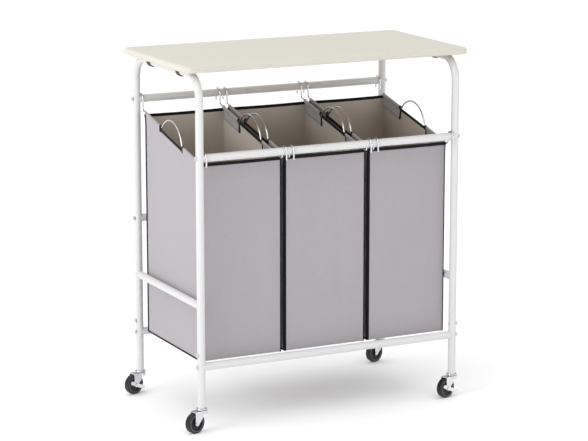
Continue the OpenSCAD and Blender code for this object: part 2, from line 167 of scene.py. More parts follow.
def powder_coat():
    white = (0.64, 0.64, 0.645)
    n = Nodes("powder_coat", Coat_Weight=0.25, Coat_Roughness=0.25)
    n.set("Base Color", n.mix(n.noise(14, 3), shade(white, 0.985), shade(white, 1.015)))
    n.set("Roughness", n.ramp(n.noise(90, 4), 0.30, 0.44))
    n.bump(n.noise(1400, 3), 0.05 * MM, 0.5)
    return n.material


def metal(name, colour, rough_low, rough_high, bump=0.02, grain=(1, 1, 1)):
    n = Nodes(name, Metallic=1.0)
    n.set("Base Color", n.mix(n.noise(160, 3), shade(colour, 0.93), shade(colour, 1.04)))
    n.set("Roughness", n.ramp(n.noise(260, 4, stretch=grain), rough_low, rough_high))
    n.bump(n.noise(900, 3, stretch=grain), bump * MM, 0.6)
    return n.material


def plastic(name, colour, rough_low, rough_high, coat=0.0):
    n = Nodes(name, Coat_Weight=coat, Coat_Roughness=0.2)
    n.set("Base Color", n.mix(n.noise(70, 3), shade(colour, 0.85), shade(colour, 1.15)))
    n.set("Roughness", n.ramp(n.noise(220, 4), rough_low, rough_high))
    n.bump(n.noise(1600, 2), 0.04 * MM, 0.6)
    return n.material


def woven(name, colour, pitch, sheen, depth, mottle=0.05):
    """Plain weave: two crossed sets of threads in the piece's UVs, which are in metres."""
    n = Nodes(name, Sheen_Weight=sheen, Sheen_Roughness=0.6, Specular_IOR_Level=0.25)
    split = n.add("ShaderNodeSeparateXYZ", Vector=n.coordinates.outputs["UV"])
    wave = [n.math("SINE", n.math("MULTIPLY", split.outputs[k], 2 * math.pi / pitch)) for k in (0, 1)]
    weave = n.math("MULTIPLY", wave[0], wave[1])
    threads = n.math("ADD", n.noise(1, 2, "UV", (40, 1 / pitch, 1)), n.noise(1, 2, "UV", (1 / pitch, 40, 1)))
    cloudy = n.noise(9, 3)
    tone = n.math("ADD", n.ramp(threads, -mottle, mottle, 0.6, 1.4), n.ramp(cloudy, -mottle / 2, mottle / 2))
    tone = n.math("ADD", tone, n.ramp(weave, -mottle / 2, mottle / 2, -1, 1))
    n.set("Base Color", n.mix(n.ramp(tone, 0, 1, -0.3, 0.3), shade(colour, 0.7), shade(colour, 1.3)))
    n.set("Roughness", n.ramp(cloudy, 0.78, 0.92))
    n.bump(n.math("ADD", weave, n.math("MULTIPLY", threads, 0.8)), depth * MM, 0.7)
    return n.material


def grosgrain(name, colour, pitch):
    """Ribbed tape: fine ribs across its length, which runs along the second UV."""
    n = Nodes(name, Sheen_Weight=0.04, Sheen_Roughness=0.5, Specular_IOR_Level=0.15)
    split = n.add("ShaderNodeSeparateXYZ", Vector=n.coordinates.outputs["UV"])
    rib = n.math("SINE", n.math("MULTIPLY", split.outputs[1], 2 * math.pi / pitch))
    n.set("Base Color", n.mix(n.ramp(rib, 0, 1, -1, 1), shade(colour, 0.8), shade(colour, 1.3)))
    n.set("Roughness", n.ramp(n.noise(300, 3), 0.7, 0.9))
    n.bump(rib, 0.12 * MM, 0.8)
    return n.material


def fibreboard():
    n = Nodes("fibreboard", Specular_IOR_Level=0.2)
    fibres = n.noise(500, 5, stretch=(0.25, 1, 1))
    n.set("Base Color", n.mix(n.ramp(fibres, 0, 1, 0.3, 0.7), (0.40, 0.29, 0.18, 1), (0.58, 0.45, 0.30, 1)))
    n.set("Roughness", n.ramp(n.noise(60, 3), 0.72, 0.9))
    n.bump(fibres, 0.08 * MM, 0.6)
    return n.material


def felt():
    n = Nodes("felt", Sheen_Weight=0.4, Sheen_Roughness=0.8, Roughness=0.95, Specular_IOR_Level=0.1)
    hair = n.noise(700, 6)
    n.set("Base Color", n.mix(hair, (0.62, 0.62, 0.61, 1), (0.80, 0.80, 0.79, 1)))
    n.bump(hair, 0.4 * MM, 0.8)
    return n.material


def wheel_plastic(name, centre, axle):
    """Black wheel with a paler ring on each face, a painted highlight in the base colour: its tone follows
    the distance from the axle.
    """
    n = Nodes(name, Coat_Weight=0.12, Coat_Roughness=0.2, Specular_IOR_Level=0.3)
    arm = n.tree.nodes.new("ShaderNodeVectorMath")
    arm.operation = "SUBTRACT"
    n.put(arm.inputs[0], n.coordinates.outputs["Object"])
    arm.inputs[1].default_value = centre
    cross = n.tree.nodes.new("ShaderNodeVectorMath")
    cross.operation = "CROSS_PRODUCT"
    n.put(cross.inputs[0], arm.outputs[0])
    cross.inputs[1].default_value = axle
    length = n.tree.nodes.new("ShaderNodeVectorMath")
    length.operation = "LENGTH"
    n.put(length.inputs[0], cross.outputs[0])
    radius = length.outputs["Value"]
    # painted highlight: the paler ring, 17.5 to 22.2 mm from the axle, stands in for the ring of light on
    # each face
    ring = n.math("MULTIPLY", n.ramp(radius, 0, 1, 17.5 * MM, 18.2 * MM),
                  n.ramp(radius, 1, 0, 21.4 * MM, 22.2 * MM))
    tone = n.mix(ring, (0.006, 0.006, 0.0065, 1), (0.07, 0.07, 0.074, 1))
    n.set("Base Color", n.mix(n.ramp(n.noise(240, 3), 0.0, 0.2), tone, (0.03, 0.03, 0.033, 1)))
    n.set("Roughness", n.ramp(n.noise(200, 4), 0.28, 0.5))
    n.bump(n.noise(800, 3), 0.06 * MM, 0.6)
    return n.material


BAG_GREY = (0.376, 0.352, 0.371)
LINING = (0.56, 0.51, 0.455)
CREAM = (0.62, 0.595, 0.525)
coat = powder_coat()
zinc = metal("zinc_plate", (0.66, 0.67, 0.69), 0.28, 0.45)
chrome = metal("chrome_plate", (0.74, 0.75, 0.77), 0.10, 0.24)
bright_wire = metal("bright_wire", (0.70, 0.70, 0.71), 0.16, 0.3, grain=(1, 0.05, 1))
lever_zinc = metal("lever_zinc", (0.80, 0.80, 0.81), 0.22, 0.38)
steel_balls = metal("steel_balls", (0.60, 0.60, 0.61), 0.08, 0.2)
clip_black = plastic("clip_plastic", (0.018, 0.018, 0.019), 0.38, 0.58)
insert_grey = plastic("insert_plastic", (0.12, 0.12, 0.125), 0.5, 0.7)
socket_grey = plastic("socket_plastic", (0.52, 0.52, 0.53), 0.4, 0.6)
bag_cloth = woven("bag_cloth", BAG_GREY, 1.1 * MM, 0.18, 0.10)
bag_lining = woven("bag_lining", LINING, 0.9 * MM, 0.05, 0.05, 0.03)
cover_cotton = woven("cover_cotton", CREAM, 0.8 * MM, 0.12, 0.08, 0.03)
black_tape = grosgrain("edge_tape", (0.008, 0.008, 0.0085), 1.4 * MM)
seam_thread = plastic("seam_thread", (0.03, 0.03, 0.032), 0.6, 0.8)
pale_thread = plastic("pale_thread", (0.36, 0.345, 0.355), 0.6, 0.8)
mdf = fibreboard()
pad_felt = felt()


def dress(node, material):
    mesh = frame["nodes"][node].data
    mesh.materials.clear()
    mesh.materials.append(material)


def dress_frame():
    """Gives each CAD piece that stays in view its own material."""
    for node in frame["nodes"]:
        if node.startswith(("upper_frame", "side_rail", "lower_leg")) or node.endswith("_rail"):
            dress(node, coat)
        elif node.endswith("_screws"):
            dress(node, zinc)
        elif node.endswith(("_stem", "_fork", "_axle")):
            dress(node, chrome)
        elif node.endswith("_brake"):
            dress(node, lever_zinc)
        elif "_rod_" in node:
            dress(node, bright_wire)
        elif node.endswith("_wheel"):
            joint = next(j for j in frame["joints"] if frame["nodes"][node]["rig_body"] == j["child"])
            dress(node, wheel_plastic(node + "_plastic", joint["pos_m"], joint["axis"]))
    dress("rail_inserts", insert_grey)
    dress("board_panel", mdf)
    dress("board_clips", clip_black)
    dress("caster_sockets", socket_grey)
    dress("caster_balls", steel_balls)


# Mesh tools ---------------------------------------------------------------------------------


def make_piece(name, points, faces, materials, uvs=None, face_material=None, sharp=40):
    mesh = bpy.data.meshes.new(name)
    mesh.from_pydata([tuple(p) for p in points], [], faces)
    for material in materials:
        mesh.materials.append(material)
    if uvs:
        layer = mesh.uv_layers.new(name="UVMap")
        for loop in mesh.loops:
            layer.data[loop.index].uv = uvs[loop.vertex_index]
    for polygon in mesh.polygons:
        polygon.use_smooth = True
        if face_material:
            polygon.material_index = face_material[polygon.index]
    mesh.set_sharp_from_angle(angle=math.radians(sharp))
    mesh.validate()
    piece = bpy.data.objects.new(name, mesh)
    bpy.context.scene.collection.objects.link(piece)
    return piece


def apply_modifiers(piece):
    depsgraph = bpy.context.evaluated_depsgraph_get()
    mesh = bpy.data.meshes.new_from_object(piece.evaluated_get(depsgraph))
    piece.modifiers.clear()
    piece.data = mesh


def thicken(piece, thickness, inner_material=0, rim_material=0):
    """Gives a sheet its thickness, on the side its normals point away from."""
    modifier = piece.modifiers.new("thickness", "SOLIDIFY")
    modifier.thickness = thickness
    modifier.offset = -1
    modifier.use_even_offset = True
    modifier.material_offset = inner_material
    modifier.material_offset_rim = rim_material
    apply_modifiers(piece)


class Solid:
    """Collects swept strips and stitches, which become one piece."""

    def __init__(self):
        self.points, self.faces, self.uvs = [], [], []

    def sweep(self, sections, lengths):
        """Closed sections, all with the same number of points, joined one after the other."""
        start, count = len(self.points), len(sections[0])
        for section, along in zip(sections, lengths):
            around = 0.0
            for k, point in enumerate(section):
                around += (point - section[k - 1]).length if k else 0.0
                self.points.append(point)
                self.uvs.append((around, along))
        for i in range(len(sections) - 1):
            for k in range(count):
                a, b = start + i * count + k, start + i * count + (k + 1) % count
                self.faces.append((a, b, b + count, a + count))
        last = start + (len(sections) - 1) * count
        self.faces.append(tuple(start + k for k in reversed(range(count))))
        self.faces.append(tuple(last + k for k in range(count)))

    def stitch(self, a, b, normal, radius):
        """One stitch from a to b, domed over the cloth."""
        along = (b - a).normalized()
        across = along.cross(normal).normalized()
        rings = [(0.12, 0.55), (0.5, 1.0), (0.88, 0.55)]
        start = len(self.points)
        self.points.append(a)
        for share, fat in rings:
            centre = a.lerp(b, share)
            for k in range(6):
                angle = math.pi * k / 3
                outward = across * math.cos(angle) + normal * math.sin(angle)
                self.points.append(centre + outward * radius * fat)
        self.points.append(b)
        self.uvs += [(0.0, 0.0)] * (len(rings) * 6 + 2)
        for k in range(6):
            j = (k + 1) % 6
            self.faces.append((start, start + 1 + j, start + 1 + k))
            for ring in range(len(rings) - 1):
                p = start + 1 + 6 * ring
                self.faces.append((p + k, p + j, p + 6 + j, p + 6 + k))
            end = start + 1 + 6 * len(rings)
            self.faces.append((end, end - 6 + k, end - 6 + j))

    def seam(self, line, normal_at, pitch=4.0 * MM, share=0.62, radius=0.34 * MM):
        """Stitches all along a line of points."""
        left = pitch / 2
        for a, b in zip(line, line[1:]):
            length = (b - a).length
            while left + share * pitch <= length:
                start, end = a.lerp(b, left / length), a.lerp(b, (left + share * pitch) / length)
                self.stitch(start, end, normal_at(start), radius)
                left += pitch
            left = max(0.0, left - length)

    def piece(self, name, materials, sharp=40):
        return make_piece(name, self.points, self.faces, materials, self.uvs, sharp=sharp)


def smooth_step(x):
    x = max(0.0, min(1.0, x))
    return x * x * (3 - 2 * x)


# Bags ---------------------------------------------------------------------------------------

front_rail, rear_rail = middle("front_top_rail"), middle("rear_top_rail")
ROD_SLOPE = (rear_rail.z - front_rail.z) / (rear_rail.y - front_rail.y)
ROD_DROP = 24 * MM
ROD_MID_Z = (front_rail.z + rear_rail.z) / 2 - ROD_DROP
ROD_X = (middle("bag_centre_rod_b").x - middle("bag_centre_rod_a").x) / 2
HALF_X = ROD_X + 2.7 * MM
HALF_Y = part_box("bag_centre_shell")[1].y
FLOOR_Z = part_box("bag_centre_shell")[0].z
CORNER_R = 3 * MM
CLOTH_T = 0.9 * MM
HEAD_H = 12 * MM  # height of the strip at the top of each wall that the edges are shaped in
SLEEVE_GAP = 64 * MM  # half of the length that is cut out of each sleeve, for the grip
CUT_DROP = 4 * MM
WALL_ROWS = 76

# Section of a sleeve round its rod, then of the hem flap inside the bag: out from the rod, and up
SLEEVE = [(2.7, -8.5), (2.8, -5), (2.95, -2), (3, 0.3), (2.5, 1.8), (1.4, 2.7), (0, 3), (-1.4, 2.7),
          (-2.5, 1.8), (-3, 0.2), (-2.6, -2.4), (-1.3, -5.4), (0.4, -8.6), (0.5, -12), (0, -16),
          (-0.6, -21), (-1.1, -26), (-1.4, -31)]
SLEEVE_SEAM = ((2.75, 1), (0.45, -1))  # where its seam comes through: out from the rod, and the way it faces


def rod_z(y):
    return ROD_MID_Z + ROD_SLOPE * y


FRONT_TOP = rod_z(-HALF_Y) - 1.4 * MM
REAR_TOP = rod_z(HALF_Y) - 5.6 * MM


def settled(bag, point):
    """A point of a bag's cloth as it hangs: wider next to another bag, narrower next to a side rail."""
    x = point.x - MIDDLE_X[bag]
    side = 1 if x > 0 else -1
    below = rod_z(point.y) - 3 * MM - point.z
    if abs(BAGS[bag] + side) < 2:
        corner = smooth_step((abs(point.y) - HALF_Y + 15 * MM) / (12 * MM))
        if abs(x) > ROD_X - 6 * MM and abs(point.y) < HALF_Y - 0.5 * MM:
            corner *= smooth_step((abs(x) - ROD_X) / (2.5 * MM))  # the sleeve stays clear of its rod
        widen = 2.3 * MM * max(corner, smooth_step(below / (24 * MM)))
    else:
        widen = -1.0 * MM * smooth_step(below / (30 * MM))
    return Vector((MIDDLE_X[bag] + x + side * widen * abs(x) / HALF_X, point.y, point.z))


def turned(wall, along, out):
    """Place in plan of a point on wall 0 front, 1 right, 2 rear or 3 left, from the bag's middle."""
    return ((along, -out), (out, along), (-along, out), (-out, -along))[wall]


def half_size(wall):
    """Half of a wall's length, and its distance from the bag's middle."""
    return (HALF_Y, HALF_X) if wall % 2 else (HALF_X, HALF_Y)


def wall_top(wall, along):
    """Height of the line that a wall's top is shaped on: its edge, or its rod."""
    if wall == 0:
        return FRONT_TOP - 0.6 * MM * (1 - (along / HALF_X) ** 2)
    if wall == 2:
        return REAR_TOP - 1.2 * MM * (1 - (along / HALF_X) ** 2)
    return rod_z(turned(wall, along, 0)[1])


def swell(seed, wall, along, z):
    """How far the cloth stands out from its flat wall: a slack belly, soft folds, puckers by the seams."""
    half, _ = half_size(wall)
    u = along / half
    top = wall_top(wall, along)
    f = (z - FLOOR_Z) / (top - HEAD_H - FLOOR_Z)
    inner = smooth_step((1 - abs(u)) * 5) * smooth_step(f * 7) * smooth_step((1 - f) * 5)
    place = Vector((u * 1.4 + 3.1 * seed, f * 2.1 + wall * 5.3, seed * 1.7 + wall))
    slow = noise.noise(place)
    folds = noise.noise(Vector((u * 5.5 + seed * 2.3, f * 1.5 + wall * 3.7, 9.1 + seed)))
    belly = math.sin(math.pi * min(1.0, f * 1.25)) ** 2 if f > 0 else 0.0
    gap = half * (1 - abs(u))
    pucker = math.sin(2 * math.pi * z / (23 * MM) + 3 * noise.noise(Vector((seed, z * 20, wall))))
    pucker *= math.exp(-gap / (11 * MM)) * smooth_step((gap - 4 * MM) / (5 * MM)) * smooth_step(f * 12)
    pucker *= smooth_step((1 - f) * 12)
    if wall % 2:
        return (inner * (-0.7 + 0.9 * slow + 0.6 * folds) + 0.3 * pucker) * MM
    return (inner * (1.4 * belly + 1.5 * slow + 0.8 * folds) + 0.45 * pucker) * MM


def spread(low, high, count):
    """Places from low to high that lie closer together by both ends."""
    return [low + (high - low) * (0.5 - 0.5 * math.cos(math.pi * k / count)) * 0.45
            + (high - low) * k / count * 0.55 for k in range(count + 1)]


def wall_columns():
    """Columns of a bag's cloth, all round: wall, along, out, and the shape of its head."""
    columns = []
    for wall in range(4):
        half, out = half_size(wall)
        reach = half - CORNER_R
        if wall % 2:
            stops = [(-reach, -SLEEVE_GAP, "sleeve", 12), (-SLEEVE_GAP, SLEEVE_GAP, "cut", 14),
                     (SLEEVE_GAP, reach, "sleeve", 12)]
        else:
            stops = [(-reach, reach, "edge", 24)]
        for low, high, head, count in stops:
            columns += [(wall, along, out, head) for along in spread(low, high, count)]
        for k in (1, 2):
            angle = math.radians(30 * k)
            columns.append((wall, reach + CORNER_R * math.sin(angle),
                            out - CORNER_R * (1 - math.cos(angle)), "corner"))
    return columns


def column_points(bag, column, around):
    """One column of cloth from the middle of the floor up to its edge, with its UVs."""
    wall, along, out, head = column
    seed = BAGS[bag] + 2
    x, y = turned(wall, along, out)
    points, uvs = [], []

    def add(px, py, z, v):
        points.append(settled(bag, Vector((MIDDLE_X[bag] + px, py, z))))
        uvs.append((around, v))

    for share in (0.25, 0.5, 0.75, 0.92):
        droop = 1.4 * MM * (1 - share ** 2)
        add(x * share, y * share, FLOOR_Z - droop, -(1 - share) * 0.1)
    for inset, lift in ((2.2, 0), (0.7, 0.6)):
        ix, iy = turned(wall, along, out - inset * MM)
        add(ix, iy, FLOOR_Z + lift * MM, -inset * MM)
    half, _ = half_size(wall)
    line = wall_top(wall, max(-half, min(half, along)))
    base = line - HEAD_H
    low = FLOOR_Z + 2.2 * MM
    for row in range(WALL_ROWS + 1):
        z = low + (base - low) * row / WALL_ROWS
        proud = swell(seed, wall, along, z) if head != "corner" else 0.0
        px, py = turned(wall, along, out + proud)
        add(px, py, z, z - FLOOR_Z)
    if head == "sleeve":
        sway = 0.5 * noise.noise(Vector((along * 30, seed, wall)))
        shape = [(ROD_X + (off + (sway if up < -18 else 0)) * MM, up * MM) for off, up in SLEEVE]
    elif head == "cut":
        shape = [(out, -8.5 * MM), (out, -CUT_DROP)]
    else:
        shape = [(out, -8.5 * MM), (out, -5 * MM), (out, -2 * MM), (out, 0.0)]
    run = base - FLOOR_Z
    last = (out, -HEAD_H)
    for off, up in shape:
        run += math.dist((off, up), last)
        last = (off, up)
        px, py = turned(wall, along, off)
        add(px, py, line + up, run)
    return points, uvs


MIDDLE_X = {bag: (middle(f"bag_{bag}_rod_a").x + middle(f"bag_{bag}_rod_b").x) / 2 for bag in BAGS}


def bag_body(bag):
    """The whole bag as one folded sheet of cloth: floor, walls, sleeves and hem flaps."""
    columns = wall_columns()
    points, uvs, faces, starts = [], [], [], []
    around = 0.0
    plan = [Vector(turned(wall, along, out)) for wall, along, out, _ in columns]
    counts = []
    for k, column in enumerate(columns):
        around += (plan[k] - plan[k - 1]).length if k else 0.0
        new_points, new_uvs = column_points(bag, column, around)
        starts.append(len(points))
        counts.append(len(new_points))
        points += new_points
        uvs += new_uvs
    for k in range(len(columns)):
        j = (k + 1) % len(columns)
        if (plan[k] - plan[j]).length < 1e-6:
            continue
        for row in range(min(counts[k], counts[j]) - 1):
            a, b = starts[k] + row, starts[j] + row
            faces.append((a, b, b + 1, a + 1))
    faces.append(tuple(reversed(starts)))
    piece = make_piece(f"bag_{bag}_cloth", points, faces, [bag_cloth, bag_lining], uvs, sharp=50)
    weld(piece)
    thicken(piece, CLOTH_T, inner_material=1)
    return piece


def weld(piece):
    """Joins the two columns that meet at each end of a cut-out."""
    modifier = piece.modifiers.new("weld", "WELD")
    modifier.merge_threshold = 0.01 * MM
    apply_modifiers(piece)


TAPE_T = 0.7 * MM
TAPE_SIDE = 9.5 * MM
TAPE_FACE = 3.5 * MM
TAPE_TOP = 6.2 * MM


def plan_section(inner, outer):
    """Closed outline of a strip: along its inner line, and back along its outer one."""
    return inner + outer[::-1]


def corner_strip(solid, thread, bag, wall):
    """Tape folded round the vertical corner after a wall, from the bottom to the top edge."""
    def outline(z, wide, lift):
        """Line across the tape, lift out from the cloth."""
        half, out = half_size(wall)
        next_half, next_out = half_size((wall + 1) % 4)
        face = (TAPE_SIDE if wall % 2 else TAPE_FACE) + wide
        other = (TAPE_FACE if wall % 2 else TAPE_SIDE) + wide
        line = [turned(wall, half - face * s, out + lift) for s in (1, 0.97, 0.6)]
        for k in range(5):
            angle = math.radians(22.5 * k)
            line.append(turned(wall, half - CORNER_R + (CORNER_R + lift) * math.sin(angle),
                               out - CORNER_R + (CORNER_R + lift) * math.cos(angle)))
        line += [turned((wall + 1) % 4, -next_half + other * s, next_out + lift) for s in (0.6, 0.97, 1)]
        return [Vector((MIDDLE_X[bag] + x, y, z)) for x, y in line]

    x, y = turned(wall, *half_size(wall))
    top = (FRONT_TOP if y < 0 else REAR_TOP) + 0.4 * MM
    low = FLOOR_Z + 0.5 * MM
    count = 44
    sections, lengths = [], []
    for k in range(count + 1):
        z = low + (top - low) * k / count
        wide = 0.25 * MM * noise.noise(Vector((z * 60, wall, BAGS[bag])))
        inner, outer = outline(z, wide, -0.25 * MM), outline(z, wide, TAPE_T)
        outer[0], outer[-1] = outer[0].lerp(inner[0], 0.5), outer[-1].lerp(inner[-1], 0.5)
        sections.append(plan_section(inner, outer))
        lengths.append(z)
    solid.sweep(sections, lengths)
    side = wall if wall % 2 else (wall + 1) % 4
    half, out = half_size(side)
    along = (half - TAPE_SIDE + 1.6 * MM) * (1 if side == wall else -1)
    line = [Vector((MIDDLE_X[bag] + p[0], p[1], z)) for z in (low, top)
            for p in [turned(side, along, out + TAPE_T)]]
    normal = Vector((*turned(side, 0, 1), 0))
    thread.seam(line, lambda p: normal)


def folded_strip(solid, thread, bag, wall, low, high, edge_z, out, deep, grip=0.0, count=26):
    """Tape folded over the top edge of a wall, from one place along it to another."""
    sections, lengths = [], []
    half_t = CLOTH_T / 2 + grip
    mid = out - CLOTH_T / 2
    for k in range(count + 1):
        along = low + (high - low) * k / count
        top = edge_z(along)
        wave = 0.25 * MM * noise.noise(Vector((along * 60, wall * 3.1, BAGS[bag] + deep * 90)))
        outline = [(half_t - 0.25 * MM, -deep - wave), (half_t + 0.5 * TAPE_T, -deep - wave),
                   (half_t + TAPE_T, -deep + 0.5 * MM - wave), (half_t + TAPE_T, -0.3 * MM)]
        for angle in (30, 60, 90, 120, 150):
            outline.append(((half_t + TAPE_T) * math.cos(math.radians(angle)),
                            (half_t + TAPE_T) * math.sin(math.radians(angle)) * 0.8))
        outline += [(-half_t - TAPE_T, -0.3 * MM), (-half_t - TAPE_T, -deep + 0.5 * MM + wave),
                    (-half_t - 0.5 * TAPE_T, -deep + wave), (-half_t + 0.25 * MM, -deep + wave)]
        section = []
        for off, up in outline:
            x, y = turned(wall, along, mid + off)
            section.append(Vector((MIDDLE_X[bag] + x, y, top + up)))
        sections.append(section)
        lengths.append(along)
    solid.sweep(sections, lengths)
    for side, direction in ((half_t + TAPE_T, 1), (-half_t - TAPE_T, -1)):
        line = []
        for k in range(count + 1):
            along = low + (high - low) * k / count
            x, y = turned(wall, along, mid + side)
            line.append(Vector((MIDDLE_X[bag] + x, y, edge_z(along) - deep + 1.7 * MM)))
        normal = Vector((*turned(wall, 0, direction), 0))
        thread.seam(line, lambda p, n=normal: n)


def sleeve_end_strip(solid, bag, wall, end):
    """Tape over the cut end of a sleeve and its hem flap, at one end of the cut-out."""
    line = [((HALF_X - ROD_X) / MM, -HEAD_H / MM)] + SLEEVE
    sections, lengths = [], []
    run = 0.0
    for k, (off, up) in enumerate(line):
        before, after = line[max(k - 1, 0)], line[min(k + 1, len(line) - 1)]
        tangent = Vector((after[0] - before[0], after[1] - before[1])).normalized()
        normal = Vector((tangent.y, -tangent.x))
        run += math.dist(line[k], line[k - 1]) * MM if k else 0.0
        section = []
        for across, lift in ((-0.6, -0.3), (-0.6, 0.5), (-0.3, 0.75), (4.4, 0.75), (4.9, 0.3), (4.9, -0.3)):
            along = end * SLEEVE_GAP + end * across * MM
            px = ROD_X + (off + normal.x * lift) * MM
            pz = rod_z(turned(wall, along, 0)[1]) + (up + normal.y * lift) * MM
            x, y = turned(wall, along, px)
            section.append(Vector((MIDDLE_X[bag] + x, y, pz)))
        sections.append(section if end > 0 else section[::-1])
        lengths.append(run)
    solid.sweep(sections, lengths)


def bottom_strip(solid, bag, wall):
    """Tape along the bottom of a side, folded under the floor."""
    half, out = half_size(wall)
    sections, lengths = [], []
    count = 24
    for k in range(count + 1):
        along = (-1 + 2 * k / count) * (half - CORNER_R)
        section = []
        for off, up in ((-5, 0.25), (-5, -0.5), (-2, -TAPE_T / MM), (-0.3, -0.6), (0.5, 0.2), (0.7, 2),
                        (0.7, 4.2), (0.3, 4.6), (-0.25, 4.6), (-0.25, 2), (-2, 0.25)):
            x, y = turned(wall, along, out + off * MM)
            section.append(Vector((MIDDLE_X[bag] + x, y, FLOOR_Z + up * MM)))
        sections.append(section)
        lengths.append(along)
    solid.sweep(sections, lengths)


def bag_trim(bag):
    """The edge tape of one bag and its stitches, as two pieces."""
    tape, thread = Solid(), Solid()
    for wall in range(4):
        corner_strip(tape, thread, bag, wall)
    for wall in (0, 2):
        folded_strip(tape, thread, bag, wall, -HALF_X - 0.3 * MM, HALF_X + 0.3 * MM,
                     lambda along, w=wall: wall_top(w, along), HALF_Y, TAPE_TOP, grip=0.5 * MM)
    for wall in (1, 3):
        folded_strip(tape, thread, bag, wall, -SLEEVE_GAP, SLEEVE_GAP,
                     lambda along, w=wall: wall_top(w, along) - CUT_DROP, HALF_X, 6 * MM)
        bottom_strip(tape, bag, wall)
        for end in (-1, 1):
            sleeve_end_strip(tape, bag, wall, end)
    for solid in (tape, thread):
        solid.points = [settled(bag, point) for point in solid.points]
    binding = tape.piece(f"bag_{bag}_binding", [black_tape])
    return binding, thread.piece(f"bag_{bag}_binding_stitches", [seam_thread])


def sleeve_stitches(bag):
    """The two rows that close each sleeve under its rod, outside and inside."""
    thread = Solid()
    for wall in (1, 3):
        for low, high in ((-HALF_Y + 9 * MM, -SLEEVE_GAP - 7 * MM), (SLEEVE_GAP + 7 * MM, HALF_Y - 9 * MM)):
            for off, direction in SLEEVE_SEAM:
                line = []
                for along in (low, (low + high) / 2, high):
                    x, y = turned(wall, along, ROD_X + off * MM)
                    line.append(Vector((MIDDLE_X[bag] + x, y, rod_z(y) - 9 * MM)))
                normal = Vector((*turned(wall, 0, direction), 0))
                thread.seam(line, lambda p, n=normal: n, radius=0.3 * MM)
    thread.points = [settled(bag, point) for point in thread.points]
    return thread.piece(f"bag_{bag}_sleeve_stitches", [pale_thread])


def base_cover(bag):
    """The stiff base, wrapped in lining: a shallow slab with round edges that swells a little."""
    low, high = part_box(f"bag_{bag}_base")
    centre, size = (low + high) / 2, (high - low) / 2
    rings = []
    for inset, z in ((0.75, 0.0), (0.3, 0.0), (0.06, 0.02), (0.012, 0.25), (0.0, 0.6), (0.0, 1.4),
                     (0.012, 1.8), (0.06, 2.05), (0.3, 2.25), (0.75, 2.35)):
        ring = []
        for k in range(64):
            angle = 2 * math.pi * (k + 0.5) / 64
            c, s = math.cos(angle), math.sin(angle)
            # superellipse: nearly a rectangle, with round corners
            r = (abs(c) ** 14 + abs(s) ** 14) ** (-1 / 14)
            ring.append(Vector((centre.x + size.x * c * r * (1 - inset),
                                centre.y + size.y * s * r * (1 - inset), low.z + z * size.z)))
        rings.append(ring)
    solid = Solid()
    solid.sweep(rings, [0.01 * k for k in range(len(rings))])
    solid.uvs = [(p.x, p.y) for p in solid.points]
    return solid.piece(f"bag_{bag}_base_board", [bag_lining], sharp=60)


def make_bag(bag):
    body = f"bag_{bag}"
    cloth = bag_body(bag)
    tape, stitches = bag_trim(bag)
    sleeves = sleeve_stitches(bag)
    base = base_cover(bag)
    for piece, slot in ((cloth, "bag_cloth"), (tape, "bag_tape"), (stitches, "bag_tape"),
                        (sleeves, "bag_cloth"), (base, "base_board")):
        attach(piece, body)
    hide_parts(f"bag_{bag}_shell")
    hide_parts(f"bag_{bag}_tape")
    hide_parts(f"bag_{bag}_base")


# Ironing board ------------------------------------------------------------------------------

COVER_T = 1.0 * MM
CORNER_BOARD_R = 18 * MM


def board_ring(inset, z, half_x, half_y, ripple):
    """Points round the board's outline, moved in by inset, at height z."""
    r = max(CORNER_BOARD_R - inset, 0.5 * MM)
    hx, hy = half_x - inset, half_y - inset
    per_side = {0: 96, 1: 48}
    ring = []
    for side in range(4):
        long_half, short_half = (hx, hy) if side % 2 == 0 else (hy, hx)
        count = per_side[side % 2]
        places = [(-(long_half - r) + 2 * (long_half - r) * k / count, short_half) for k in range(count + 1)]
        places += [(long_half - r + r * math.sin(math.radians(15 * k)),
                    short_half - r + r * math.cos(math.radians(15 * k))) for k in range(1, 6)]
        for along, out in places:
            x, y = turned(side, along, out)
            ring.append((x, y))
    points = []
    for k, (x, y) in enumerate(ring):
        points.append(Vector((x, y, z + ripple(k, x, y))))
    return points


def flat(k, x, y):
    """Ripple of a ring that has none."""
    return 0.0


